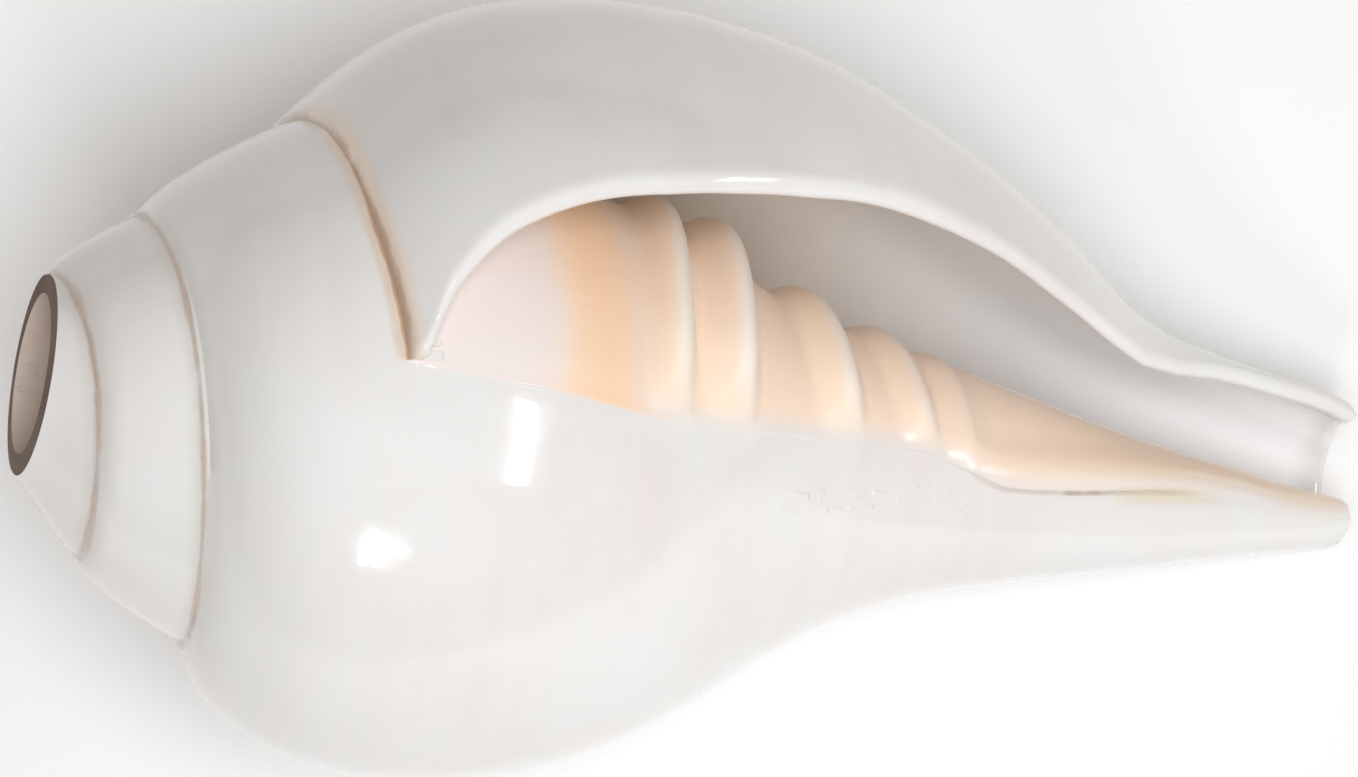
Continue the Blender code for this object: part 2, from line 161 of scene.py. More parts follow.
# Mesh: sections in one turn, closer ones behind the free edge, and rows across the whorl
TURN_STEPS = 100
EDGE_STEPS = (0, 0.03, 0.12, 0.28, 0.5, 0.75)
SHOULDER_ROWS = np.linspace(0, 1, 24) ** 1.4
PARIETAL_ROWS = np.linspace(0, 1, 8, endpoint=False)
FOLD_ROWS = 92
CANAL_ROWS = (0.06, 0.14, 0.24, 0.35, 0.47, 0.59, 0.7, 0.79, 0.87, 0.93, 0.965, 0.983, 0.993, 0.998, 1)
SAME_POINT = 1e-7

# Edge of the shining callus as (u, growth angle), and the ridge it raises beside the canal
CALLUS_EDGE = ((40, -370), (51, -364), (59, -362), (70, -360), (82, -356), (93, -355), (104, -355),
               (113, -357), (119, -354), (124, -349), (131, -353), (139, -360), (148, -367),
               (155, -368), (162, -352), (170, -345))
CALLUS_RIDGE = ((116, 0), (121, 0.55), (128, 1.25), (136, 1.2), (145, 0.8), (153, 0.35), (160, 0))
RIDGE_ANGLES = (-420, -330)
RIDGE_RISE = 2.0
RIDGE_FALL = 4.2

# What a coordinate of the finish says where it doesn't apply, how near a join it changes, and the
# angle from which an edge stays crisp
FAR_AWAY = 50.0
NEAR_JOIN = 0.01
SHARP_FROM = math.radians(48)


def growth(angle):
    """Size at this growth angle, against 1 at the lip."""
    return TURN_GROWTH ** (angle / 360)


def ease(x):
    """Smooth step from 0 to 1."""
    x = np.clip(x, 0, 1)
    return x * x * (3 - 2 * x)


def tangents(x, y):
    """Slopes of a curve through points that never overshoots them."""
    step = np.diff(x).reshape((-1,) + (1,) * (y.ndim - 1))
    slope = np.diff(y, axis=0) / step
    tangent = np.zeros_like(y)
    tangent[0], tangent[-1] = slope[0], slope[-1]
    near = 2 * step[1:] + step[:-1]
    far = 2 * step[:-1] + step[1:]
    same = slope[:-1] * slope[1:] > 0
    first = np.where(same, slope[:-1], 1)
    second = np.where(same, slope[1:], 1)
    tangent[1:-1] = np.where(same, (near + far) / (near / first + far / second), 0)
    return tangent


def hermite(x, y, at):
    """Smooth curve through the rows of y at x, read at one place or at an array of places."""
    tangent = tangents(x, y)
    at = np.clip(at, x[0], x[-1])
    k = np.clip(np.searchsorted(x, at, side="right") - 1, 0, len(x) - 2)
    step = x[k + 1] - x[k]
    t = (at - x[k]) / step
    start = (1 + 2 * t) * (1 - t) ** 2 * y[k] + t * (1 - t) ** 2 * step * tangent[k]
    return start + t * t * (3 - 2 * t) * y[k + 1] + t * t * (t - 1) * step * tangent[k + 1]


def through(points, at):
    """Smooth curve through a short list of points, read at the given places."""
    table = np.array(sorted(points), float)
    return hermite(table[:, 0], table[:, 1], at)


def suture(angle):
    """Station of the suture at a growth angle."""
    return SUTURE_U * growth(angle) + float(through(SUTURE_DRIFT, angle))


def near_lip(angle):
    """Rises from 0 to 1 as the wall comes to the lip."""
    return float(ease((angle + LIP_THINS_OVER) / LIP_THINS_OVER))


def seat(angle):
    """Station where the inside of a whorl's wall meets the whorl before, past its suture."""
    narrow = 1 - (1 - SEAT_AT_LIP) * near_lip(angle)
    return suture(angle) + SEAT * growth(angle) * narrow


def canal_axis(u):
    """Height of the canal's middle line, which bends away from the shell's axis."""
    return -CANAL_DROP * ease((u - CANAL_BEND_FROM) / CANAL_BEND_OVER)


def spire_radius(angle, u):
    """Radius of a whorl of the spire and its columella: one outline, scaled by growth."""
    size = growth(angle - SPIRE_ANGLE)
    radius = through(OUTLINES[SPIRE_ANGLE], u / size) * size
    return np.maximum(radius, PILLAR_RADIUS)


def last_whorl_radius(angle, u):
    """Radius of the last whorl, blended between the outlines on each side of the angle."""
    start, join = suture(angle), suture(angle + 360)
    across = np.where(u <= join, (u - start) / (join - start), 1 + (u - join) / (TIP_U - join))
    rows = []
    for key in KEY_ANGLES:
        first, last = suture(key), suture(key + 360)
        u_key = np.where(
            across <= 1, first + (last - first) * across, last + (TIP_U - last) * (across - 1)
        )
        if key < SPIRE_ANGLE:
            rows.append(spire_radius(key, u_key) / growth(key))
        else:
            rows.append(through(OUTLINES[int(key)], u_key) / growth(key))
    return hermite(np.array(KEY_ANGLES), np.array(rows), angle) * growth(angle)


def fold_station(fold, angle):
    """Station of a fold's crest at a growth angle."""
    deep, front = fold[:2]
    size = growth(min(angle - SPIRE_ANGLE, 0))
    inwards = float(ease((FOLD_SHIFTS_FROM - angle) / FOLD_SHIFTS_OVER))
    return (front + (deep - front) * inwards) * size


def fold_relief(angle, u):
    """Height that the folds stand out from the columella."""
    size = growth(min(angle - SPIRE_ANGLE, 0))
    relief = np.zeros_like(u)
    for fold in FOLDS:
        height, behind, ahead = fold[2:]
        off = (u - fold_station(fold, angle)) / size
        reach = np.where(off < 0, behind, ahead)
        falls = np.where(off < 0, BACK_FALLS, FRONT_FALLS)
        relief += height * size * np.clip(1 - (off / reach) ** 2, 0, 1) ** falls
    return relief * ease((FOLDS_START - angle) / (FOLDS_START - FOLDS_FULL))


def fold_crest(angle, u):
    """Share of cream along the front of each fold's crest."""
    size = growth(min(angle - SPIRE_ANGLE, 0))
    crest = np.zeros_like(u)
    for fold, share in zip(FOLDS, CREAM_ON_FOLDS):
        off = (u - fold_station(fold, angle)) / size
        rise = ease((off - CREAM_FROM) / CREAM_RISES_OVER)
        fall = ease((fold[4] + CREAM_PAST_FRONT - off) / CREAM_FALLS_OVER)
        crest = np.maximum(crest, share * (rise * fall))
    return crest * ease((FOLDS_START - angle) / (FOLDS_START - FOLDS_FULL))


def callus_ridge(angle, u, radius):
    """Height of the callus ridge beside the canal: round on its outer side, easy on the inner."""
    inside = (through(CALLUS_EDGE, u) - angle) * math.pi / 180 * radius
    rise = np.sqrt(1 - (1 - np.clip(inside / RIDGE_RISE, 0, 1)) ** 2)
    fall = 1 - ease((inside - RIDGE_RISE) / RIDGE_FALL)
    return through(CALLUS_RIDGE, u) * rise * fall


def outer_radius(angle, u):
    """Radius of the outer surface, with the ridge, the folds and the worn apex."""
    if angle <= SPIRE_ANGLE:
        radius = spire_radius(angle, u)
    else:
        radius = last_whorl_radius(angle, u)
    if RIDGE_ANGLES[0] < angle < RIDGE_ANGLES[1]:
        radius = radius + callus_ridge(angle, u, radius)
    low_side = (1 - math.cos(math.radians(CORNER_PHI + angle))) / 2
    pinch = APEX_PINCH * low_side * ease((PINCH_BELOW_U - u) / PINCH_OVER)
    return (radius + fold_relief(angle, u)) * (1 - pinch)


def wall(angle, u):
    """Thickness of the outer wall."""
    thin_canal = 1 - (1 - WALL_AT_CANAL) * ease((u - THINS_FROM_U) / THINS_OVER) * (angle > -360)
    thin_lip = 1 - (1 - WALL_AT_LIP) * near_lip(angle)
    return WALL * growth(angle) ** WALL_GROWTH * thin_canal * thin_lip


def cavity_end(angle):
    """Station where the hollow under the wall ends towards the canal."""
    if angle >= CANAL_CLOSES:
        return TIP_U
    if angle >= SPIRE_ANGLE:
        return float(through(CAVITY_END, angle))
    return float(through(CAVITY_END, SPIRE_ANGLE)) * growth(angle - SPIRE_ANGLE)


def inner_radius(angle, u, end):
    """Radius of the hollow's outer side: a wall's thickness in, and never under the whorl before."""
    start = suture(angle)
    along = start + (end - start) * OFFSET_POINTS
    radius = outer_radius(angle, along)
    du, dr = np.gradient(along), np.gradient(radius)
    inwards = wall(angle, along) / np.hypot(du, dr)
    moved = along + inwards * dr
    order = np.argsort(moved)
    offset = np.interp(u, moved[order], (radius - inwards * du)[order])
    floor = outer_radius(angle - 360, u)
    least = np.minimum(SEAT_SLOPE * (u - seat(angle)), LEAST_HOLLOW)
    hollow = np.maximum(offset - floor, least)
    if end < TIP_U:
        close = ROUNDED_END * (end - seat(angle))
        hollow *= np.sqrt(np.clip(1 - np.clip((u - end + close) / close, 0, 1) ** 2, 0, 1))
    return floor + hollow


def base_stations(angle, end):
    """Rows from the seat of the next whorl's wall, over the folds, to the end."""
    first = seat(angle + 360)
    size = growth(min(angle - SPIRE_ANGLE, 0))
    foot = fold_station(FOLDS[0], angle) - FOLDS[0][3] * size
    front = fold_station(FOLDS[-1], angle) + FOLDS[-1][4] * size
    rows = [first + (foot - first) * part for part in PARIETAL_ROWS]
    rows += list(np.linspace(foot, front, FOLD_ROWS))
    return rows + [front + (end - front) * part for part in CANAL_ROWS]


def stations(angle, end):
    """Stations of every row at a growth angle."""
    start, join = suture(angle), suture(angle + 360)
    shoulder = [start + (join - start) * part for part in SHOULDER_ROWS]
    return np.array(shoulder + base_stations(angle, end))


def hollow_stations(angle, end):
    """Stations of every row on the inside of the wall, from its seat on the whorl before."""
    start, join = suture(angle), suture(angle + 360)
    u = stations(angle, TIP_U)
    shoulder = seat(angle) + (u - start) * (join - seat(angle)) / (join - start)
    base = join + (u - join) * (end - join) / (TIP_U - join)
    return np.where(u <= join, shoulder, base)


def section_angles():
    """Growth angles of the sections: even steps, with closer ones where the lip's edge is."""
    step = 360 / TURN_STEPS
    turn = [step * part for part in EDGE_STEPS] + [step * k for k in range(1, TURN_STEPS)]
    whole = np.array([back + 360 * k for k in range(4) for back in turn])
    return LAST_ANGLE - whole[whole <= -DEEPEST_ANGLE], len(turn)


def sections():
    """Outer and inner surface as tables of station, radius and angle for each section and row."""
    angles, in_turn = section_angles()
    closed = int(np.argmax(angles < CANAL_CLOSES))
    outer, inner = [], []
    for j, angle in enumerate(angles):
        end = TIP_U if j <= closed + in_turn else cavity_end(angle + 360)
        u = stations(angle, end)
        outer.append((u, outer_radius(angle, u), np.full(len(u), angle)))
        if j < len(angles) - in_turn:
            end = TIP_U if j < closed else cavity_end(angle)
            u = hollow_stations(angle, end)
            inner.append((u, inner_radius(angle, u, end), np.full(len(u), angle)))
    return np.array(outer), np.array(inner), closed, in_turn


def sheared(table, lip_back):
    """The sections near the lip, slanted so that the first one follows the lip's free edge."""
    angles = table[:, 2, 0]
    slanted = table.copy()
    for j, angle in enumerate(angles):
        if angle <= -LIP_REACH:
            break
        part = (LAST_ANGLE - angle) / (LIP_REACH + LAST_ANGLE)
        aim = -(lip_back + (LIP_REACH - lip_back) * part)
        for row, at in enumerate(aim):
            slanted[j, 0, row] = np.interp(-at, -angles, table[:, 0, row])
            slanted[j, 1, row] = np.interp(-at, -angles, table[:, 1, row])
            slanted[j, 2, row] = at
    return slanted


def placed(table):
    """Points of a table of station, radius and angle, in millimetres."""
    u, radius, angle = table[:, 0], table[:, 1], np.radians(CORNER_PHI + table[:, 2])
    height = canal_axis(u) + radius * np.cos(angle)
    return np.stack([u, height, radius * np.sin(angle)], axis=-1)


def round_free_edge(outer, inner, closed):
    """Draws the two surfaces together along the lip, down to its seat, and round the canal's end."""
    lift = ease(np.arange(inner.shape[1]) / EDGE_LIES_OVER)[:, None] / 2
    middle = inner + (outer[:len(inner)] - inner) * lift
    half = np.linalg.norm(outer[:len(inner)] - inner, axis=-1) / 2
    drawn = np.ones(half.shape)
    for j in range(EDGE_REACH):
        off = np.linalg.norm(middle[j] - middle[0], axis=-1)
        part = np.clip(off / np.maximum(half[j], THIN_EDGE), 0, 1)
        drawn[j, 1:] = np.sqrt(1 - (1 - part[1:]) ** 2)
    for row in range(-EDGE_REACH, 0):
        off = np.linalg.norm(middle[:closed, row] - middle[:closed, -1], axis=-1)
        part = np.clip(off / np.maximum(half[:closed, row], THIN_EDGE), 0, 1)
        drawn[:closed, row] *= np.sqrt(1 - (1 - part) ** 2)
    outer[:len(inner)] = middle + (outer[:len(inner)] - middle) * drawn[..., None]
    inner[:] = middle + (inner - middle) * drawn[..., None]


def round_pillar_end(outer, closed, in_turn):
    """Rounds the solid end of the columella at the canal's tip."""
    for j in range(closed, closed + in_turn + 1):
        ahead = np.clip((TIP_U - outer[j, 0]) / TIP_ROUNDING, 0, 1)
        outer[j, 1] -= TIP_ROUNDING * TIP_ROUNDING_DEPTH * (1 - np.sqrt(1 - (1 - ahead) ** 2))


def paint_coordinates(table, points, outside, in_turn):
    """What the finish reads at each point: where it lies on the spiral, and on which side."""
    u, radius, angle = table[:, 0], table[:, 1], table[:, 2]
    start = np.array([suture(a) for a in angle[:, 0]])[:, None]
    join = np.array([suture(a + 360) for a in angle[:, 0]])[:, None]
    from_edge = np.linalg.norm(points - points[0], axis=-1)
    past_lip = in_turn // 3
    from_edge[past_lip:] = FAR_AWAY
    from_tip = np.maximum(TIP_U - u, 0) + (angle < CANAL_CLOSES) * FAR_AWAY
    from_edge = np.minimum(from_edge, from_tip)
    away = np.full(u.shape, FAR_AWAY)
    covered = np.zeros(u.shape, bool)
    covered[in_turn:] = (u > join + NEAR_JOIN)[in_turn:]
    shown_spire = np.zeros(u.shape, bool)
    shown_spire[in_turn:] = (u <= join + NEAR_JOIN)[in_turn:]
    past = np.where(shown_spire, np.minimum(u - start, join - u), u - start)
    callus = (through(CALLUS_EDGE, u) - angle) * math.pi / 180 * radius
    folds = np.array([fold_crest(a, row) for a, row in zip(angle[:, 0], u)])
    return {
        "station": u,
        "spiral_angle": angle,
        "past_suture": np.where(covered, away, past) if outside else away,
        "inside_callus": np.where(shown_spire, -away, callus) if outside else -away,
        "fold_crest": folds if outside else 0 * away,
        "from_edge": from_edge,
        "hollow": 0 * away if outside else 0 * away + 1,
    }


def close_seams(outer, inner, closed, in_turn):
    """Puts each seam between the surfaces on the points of the whorl before."""
    join = len(SHOULDER_ROWS) - 1
    for j in range(len(inner)):
        outer[j, 0] = outer[j + in_turn, join]
        inner[j, 0] = outer[j + in_turn, join + 1]
        if j >= closed:
            inner[j, -1] = outer[j + in_turn, -1]


def surfaces():
    """Points of the outer and inner surface, with every seam on the same points."""
    outer, inner, closed, in_turn = sections()
    lip_back = -through(LIP_EDGE, outer[round(LIP_EDGE_READ_AT * TURN_STEPS / 360), 0])
    round_pillar_end(outer, closed, in_turn)
    outer, inner = sheared(outer, lip_back), sheared(inner, lip_back)
    tables = outer, inner
    outer, inner = placed(outer), placed(inner)
    paint = [
        paint_coordinates(tables[0], outer, True, in_turn),
        paint_coordinates(tables[1], inner, False, in_turn),
    ]
    close_seams(outer, inner, closed, in_turn)
    round_free_edge(outer, inner, closed)
    close_seams(outer, inner, closed, in_turn)
    return outer, inner, paint, in_turn


def add_sheet(bm, points, paint, layers):
    """Lays a grid over a table of points and returns its vertices by section and row."""
    columns, rows = points.shape[:2]
    made = bmesh.ops.create_grid(bm, x_segments=columns - 1, y_segments=rows - 1, size=0.5)
    by_place = {}
    for vert in made["verts"]:
        place = (round((vert.co.x + 0.5) * (columns - 1)), round((vert.co.y + 0.5) * (rows - 1)))
        by_place[place] = vert
    for place, vert in by_place.items():
        vert.co = Vector(points[place]) * MM
        for name, layer in layers.items():
            vert[layer] = paint[name][place]
    return by_place


def under_the_wall(bm, sheet, join, in_turn):
    """Faces of the outer sheet that the next whorl's wall is seated on."""
    hidden = {vert for place, vert in sheet.items()
              if place[0] >= in_turn and place[1] in (join, join + 1)}
    return [face for face in bm.faces if all(vert in hidden for vert in face.verts)]


def whole_shell(rest):
    """The closed shell, before the apex is sawn off."""
    outer, inner, paint, in_turn = surfaces()
    bm = bmesh.new()
    layers = {name: bm.verts.layers.float.new(name) for name in paint[0]}
    outside = add_sheet(bm, outer, paint[0], layers)
    add_sheet(bm, inner, paint[1], layers)
    seats = under_the_wall(bm, outside, len(SHOULDER_ROWS) - 1, in_turn)
    bmesh.ops.delete(bm, geom=seats, context="FACES")
    bmesh.ops.remove_doubles(bm, verts=bm.verts, dist=SAME_POINT)
    open_edges = [edge for edge in bm.edges if edge.is_boundary]
    bmesh.ops.holes_fill(bm, edges=open_edges, sides=0)
    bmesh.ops.triangulate(bm, faces=[face for face in bm.faces if len(face.verts) > 4])
    bmesh.ops.recalc_face_normals(bm, faces=bm.faces)
    bmesh.ops.transform(bm, matrix=rest, verts=bm.verts)
    mesh = bpy.data.meshes.new("whole_shell")
    bm.to_mesh(mesh)
    bm.free()
    return mesh


def rest_turn():
    """Turns the drawing frame into the pose at rest, with the canal towards +X."""
    up = REST_UP.normalized()
    along = (Vector((1, 0, 0)) - up * up.x).normalized()
    return Matrix((along, up.cross(along), up)).to_4x4()


def saw_mesh():
    """Block whose +X face is the saw cut."""
    bm = bmesh.new()
    bmesh.ops.create_cube(bm, size=1)
    bmesh.ops.scale(bm, vec=SAW_BLOCK * MM, verts=bm.verts)
    bmesh.ops.translate(bm, vec=Vector((-SAW_BLOCK.x / 2, 0, 0)) * MM, verts=bm.verts)
    mesh = bpy.data.meshes.new("apex_saw")
    bm.to_mesh(mesh)
    bm.free()
    return mesh


def blow_hole_mesh():
    """The blow hole's drill: its outline spun round its axis."""
    bm = bmesh.new()
    outline = [bm.verts.new((radius * MM, 0, -u * MM)) for radius, u in reversed(BLOW_HOLE)]
    edges = [bm.edges.new(pair) for pair in zip(outline, outline[1:])]
    bmesh.ops.subdivide_edges(bm, edges=edges, cuts=HOLE_CUTS, smooth=0)
    bmesh.ops.spin(bm, geom=bm.verts[:] + bm.edges[:], axis=(0, 0, 1), cent=(0, 0, 0),
                   angle=math.tau, steps=HOLE_STEPS, use_merge=True)
    bmesh.ops.remove_doubles(bm, verts=bm.verts, dist=HOLE_SAME_POINT)
    bmesh.ops.recalc_face_normals(bm, faces=bm.faces)
    mesh = bpy.data.meshes.new("blow_hole")
    bm.to_mesh(mesh)
    bm.free()
    return mesh


def cutter(name, mesh, place, material):
    """A cutter at its place, with the material that its cut leaves."""
    tool = bpy.data.objects.new(name, mesh)
    tool.data.materials.append(material)
    tool.matrix_world = place
    bpy.context.scene.collection.objects.link(tool)
    return tool


def cut(piece, tool):
    """Takes the cutter's shape out of the piece."""
    boolean = piece.modifiers.new(tool.name, "BOOLEAN")
    boolean.operation = "DIFFERENCE"
    boolean.solver = "EXACT"
    boolean.material_mode = "TRANSFER"
    boolean.object = tool


def sawn_shell(finish):
    """The finished shell mesh, lying on the floor under the middle of its box."""
    rest = rest_turn()
    whole = bpy.data.objects.new("whole_shell", whole_shell(rest))
    whole.data.materials.append(finish)
    bpy.context.scene.collection.objects.link(whole)
    sawn_mark = bpy.data.materials.new("sawn_mark")
    bored_mark = bpy.data.materials.new("bored_mark")
    saw_place = Matrix.Translation(Vector((SAW_U, 0, 0)) * MM)
    sawn = saw_place @ Matrix.Rotation(-SAW_TILT, 4, "Z")
    bore_place = Matrix.Translation(Vector((0, HOLE_HEIGHT, HOLE_BACK)) * MM)
    bore = bore_place @ Matrix.Rotation(-math.pi / 2, 4, "Y")
    tools = [cutter("apex_saw", saw_mesh(), rest @ sawn, sawn_mark),
             cutter("blow_hole", blow_hole_mesh(), rest @ bore, bored_mark)]
    for tool in tools:
        cut(whole, tool)
    bpy.context.view_layer.update()
    graph = bpy.context.evaluated_depsgraph_get()
    mesh = bpy.data.meshes.new_from_object(whole.evaluated_get(graph))
    mesh.name = "conch_shell"
    carry_paint(whole.data, mesh)
    for item in [whole, *tools]:
        bpy.data.objects.remove(item, do_unlink=True)
    corners = np.array([vert.co for vert in mesh.vertices])
    low, high = corners.min(axis=0), corners.max(axis=0)
    shift = Matrix.Translation(-Vector(((low[0] + high[0]) / 2, (low[1] + high[1]) / 2, low[2])))
    mesh.transform(shift)
    return mesh, shift @ rest


def carry_paint(source, mesh):
    """Gives the cut shell the finish's coordinates and marks the faces that a tool cut."""
    tree = kdtree.KDTree(len(source.vertices))
    for vert in source.vertices:
        tree.insert(vert.co, vert.index)
    tree.balance()
    nearest = np.array([tree.find(vert.co)[1] for vert in mesh.vertices])
    for layer in source.attributes:
        if layer.data_type != "FLOAT" or layer.domain != "POINT":
            continue
        values = np.empty(len(source.vertices), np.float32)
        layer.data.foreach_get("value", values)
        old = mesh.attributes.get(layer.name)
        if old:
            mesh.attributes.remove(old)
        made = mesh.attributes.new(layer.name, "FLOAT", "POINT")
        made.data.foreach_set("value", values[nearest])
    for index, name in (1, "sawn"), (2, "bored"):
        marked = np.array([face.material_index == index for face in mesh.polygons], np.float32)
        made = mesh.attributes.new(name, "FLOAT", "FACE")
        made.data.foreach_set("value", marked)
    for face in mesh.polygons:
        face.material_index = 0
    while len(mesh.materials) > 1:
        mesh.materials.pop(index=len(mesh.materials) - 1)
    mesh.shade_smooth()
    mesh.set_sharp_from_angle(angle=SHARP_FROM)


class Finish:
    """Builds one material's colour, roughness and relief from the shell's own coordinates."""

    def __init__(self, name):
        self.material = bpy.data.materials.new(name)
        self.material.use_nodes = True
        self.tree = self.material.node_tree
        self.shader = self.tree.nodes["Principled BSDF"]
        self.place = self.tree.nodes.new("ShaderNodeTexCoord").outputs["Object"]

    def feed(self, socket, value):
        """Links a socket, or sets it to a colour or a number."""
        if isinstance(value, bpy.types.NodeSocket):
            self.tree.links.new(value, socket)
        elif isinstance(value, tuple):
            socket.default_value = (*value, 1)
        else:
            socket.default_value = value

    def coordinate(self, name):
        """One of the mesh's own attributes."""
        node = self.tree.nodes.new("ShaderNodeAttribute")
        node.attribute_name = name
        return node.outputs["Fac"]

    def between(self, value, low, high):
        """Smooth step from 0 at low to 1 at high."""
        node = self.tree.nodes.new("ShaderNodeMapRange")
        node.interpolation_type = "SMOOTHSTEP"
        flip = high < low
        self.feed(node.inputs["Value"], value)
        self.feed(node.inputs["From Min"], min(low, high))
        self.feed(node.inputs["From Max"], max(low, high))
        self.feed(node.inputs["To Min"], 1.0 if flip else 0.0)
        self.feed(node.inputs["To Max"], 0.0 if flip else 1.0)
        return node.outputs["Result"]

    def combine(self, operation, first, second):
        node = self.tree.nodes.new("ShaderNodeMath")
        node.operation = operation
        self.feed(node.inputs[0], first)
        self.feed(node.inputs[1], second)
        return node.outputs[0]

    def times(self, first, second):
        return self.combine("MULTIPLY", first, second)

    def plus(self, first, second):
        return self.combine("ADD", first, second)

    def scaled(self, value, by, base):
        """The value times a number, on top of a base."""
        return self.plus(self.times(value, by), base)

    def wobbled(self, value, cloud, amount):
        """A coordinate made uneven by a cloud."""
        return self.plus(value, self.times(self.plus(cloud, -0.5), amount))

    def stretch(self, value, start, end):
        """1 along a stretch of a coordinate, with a soft start and a soft end."""
        return self.times(self.between(value, *start), self.between(value, *end))

    def blend(self, part, first, second):
        """The first colour, going over to the second."""
        node = self.tree.nodes.new("ShaderNodeMix")
        node.data_type = "RGBA"
        self.feed(node.inputs["Factor"], part)
        self.feed(node.inputs["A"], first)
        self.feed(node.inputs["B"], second)
        return node.outputs["Result"]

    def cloud(self, scale, detail=3.0, roughness=0.5):
        """Soft irregular pattern in the shell's own space."""
        node = self.tree.nodes.new("ShaderNodeTexNoise")
        self.feed(node.inputs["Vector"], self.place)
        node.inputs["Scale"].default_value = scale
        node.inputs["Detail"].default_value = detail
        node.inputs["Roughness"].default_value = roughness
        return node.outputs["Fac"]

    def bands(self, coordinate, scale, detail=3.0):
        """Irregular bands along one coordinate."""
        node = self.tree.nodes.new("ShaderNodeTexNoise")
        node.noise_dimensions = "1D"
        self.feed(node.inputs["W"], self.times(coordinate, scale))
        node.inputs["Scale"].default_value = 1
        node.inputs["Detail"].default_value = detail
        return node.outputs["Fac"]

    def relief(self, height, depth_mm):
        """Low relief of the surface."""
        node = self.tree.nodes.new("ShaderNodeBump")
        node.inputs["Distance"].default_value = depth_mm * MM
        self.feed(node.inputs["Height"], height)
        self.feed(self.shader.inputs["Normal"], node.outputs["Normal"])


# Colours
POLISHED_WHITE = (0.79, 0.77, 0.755)
CHALK_WHITE = (0.81, 0.81, 0.805)
PINKISH_WHITE = (0.79, 0.745, 0.735)
CALLUS_WHITE = (0.88, 0.795, 0.77)
PEACH = (0.95, 0.755, 0.60)
DEEP_PEACH = (0.97, 0.665, 0.43)
CREAM = (0.94, 0.89, 0.83)
# Painted light in the hollow: a warm tone lighter than the outside white, and along the canal a bluish
# white made lighter still, standing in for light that the hollow doesn't get
LINING_PAINTED_LIGHT = (0.95, 0.85, 0.755)
CANAL_PAINTED_LIGHT = (0.93, 0.94, 0.96)
SUTURE_TAN = (0.46, 0.27, 0.15)
# Grey painted shade in the grooves of the older sutures
SUTURE_PAINTED_SHADE_GREY = (0.60, 0.53, 0.46)
SUTURE_PEACH = (0.88, 0.68, 0.51)
OCHRE = (0.74, 0.60, 0.36)
# Painted shade: brown in the slit under the callus's edge beside the canal
SLIT_PAINTED_SHADE = (0.42, 0.31, 0.19)
# The sawn ring: partly its own matt brown and grey, partly painted shade, darker because the ring
# faces away from the light
SAWN_SHADED_BROWN = (0.17, 0.105, 0.075)
SAWN_SHADED_GREY = (0.22, 0.17, 0.14)
BORE_BEIGE = (0.68, 0.57, 0.50)

# Stations where a colour or a texture sets in or ends: a falling pair is an end
NEWEST_SUTURE = (32, 48)
PEACH_STARTS = (65, 71)
DEEP_PEACH_STARTS = (67, 73)
DEEP_PEACH_ENDS = (84, 75)
TAN_CANAL_STARTS = (126, 158)
SOFT_RIM_STARTS = (70, 84)
SHARP_RIM_ENDS = (84, 74)
OCHRE_STARTS = (137, 141)
OCHRE_ENDS = (154, 147)
SLIT_STARTS = (118, 123)
SLIT_ENDS = (151, 145)
CANAL_PAINTED_LIGHT_STARTS = (96, 140)
SATIN_ENDS = (127, 120)
BEADS_START = (95, 99)
BEADS_END = (124, 119)

# The same in millimetres past a suture, inside the callus's edge or in from the lip's edge
STAIN_ENDS = (1.7, 0.2)
STAIN_LINE_ENDS = (0.34, 0.08)
SOFT_RIM = (-0.6, 3.4)
SHARP_RIM = (-0.3, 0.5)
OCHRE_RIM = ((-2.0, -0.6), (1.0, 0.2))
SLIT_RIM = ((-0.45, -0.1), (0.45, 0.1))
LINING_STARTS = (1.0, 4.6)
SATIN_STARTS = (0.5, 2.5)
FILM_RIM = (-0.1, 0.35)

# The row of beads below the callus: its place, its slant and its half width
BEADS_BELOW = 22.6
BEADS_SLANT = -0.155
BEADS_HALF_WIDTH = (1.8, 0.9)

# Strengths of the callus's colours
DEEP_PEACH_SHARE = 0.75
CREAM_SHARE = 0.9
OCHRE_SHARE = 0.45

# Relief, as shares of its full height
RELIEF_MM = 0.22
GROWTH_LINE_HEIGHT = 0.07
FILM_HEIGHT = 0.9
BEAD_HEIGHT = 0.6
PIT_HEIGHT = 0.35

# Gloss
POLISH = 0.12
WEAR = 0.10
SATIN_ROUGHNESS = 0.24
CUT_ROUGHNESS = 0.7
COAT = 0.35
COAT_ROUGHNESS = 0.04
SHELL_IOR = 1.53
SATIN_UNCOATED = 0.9


def white_outside(make, station, mottle, wander):
    """White with faint bands and chalky clouds, stained along the sutures, with grey painted shade by
    the older ones.
    """
    banded = make.between(make.bands(station, scale=0.17), 0.35, 0.65)
    colour = make.blend(banded, POLISHED_WHITE, PINKISH_WHITE)
    colour = make.blend(make.between(mottle, 0.35, 0.7), colour, CHALK_WHITE)
    ragged = make.wobbled(make.coordinate("past_suture"), wander, amount=0.9)
    newest = make.between(station, *NEWEST_SUTURE)
    # Along the older sutures the halo is grey painted shade in their grooves; along the newest it is a
    # peach stain
    stain_and_shade = make.blend(newest, SUTURE_PAINTED_SHADE_GREY, SUTURE_PEACH)
    strength = make.scaled(newest, by=0.4, base=0.3)
    stained_and_shaded = make.times(make.between(ragged, *STAIN_ENDS), strength)
    colour = make.blend(stained_and_shaded, colour, stain_and_shade)
    strength = make.scaled(newest, by=0.3, base=0.4)
    line = make.times(make.between(ragged, *STAIN_LINE_ENDS), strength)
    return make.blend(line, colour, SUTURE_TAN)


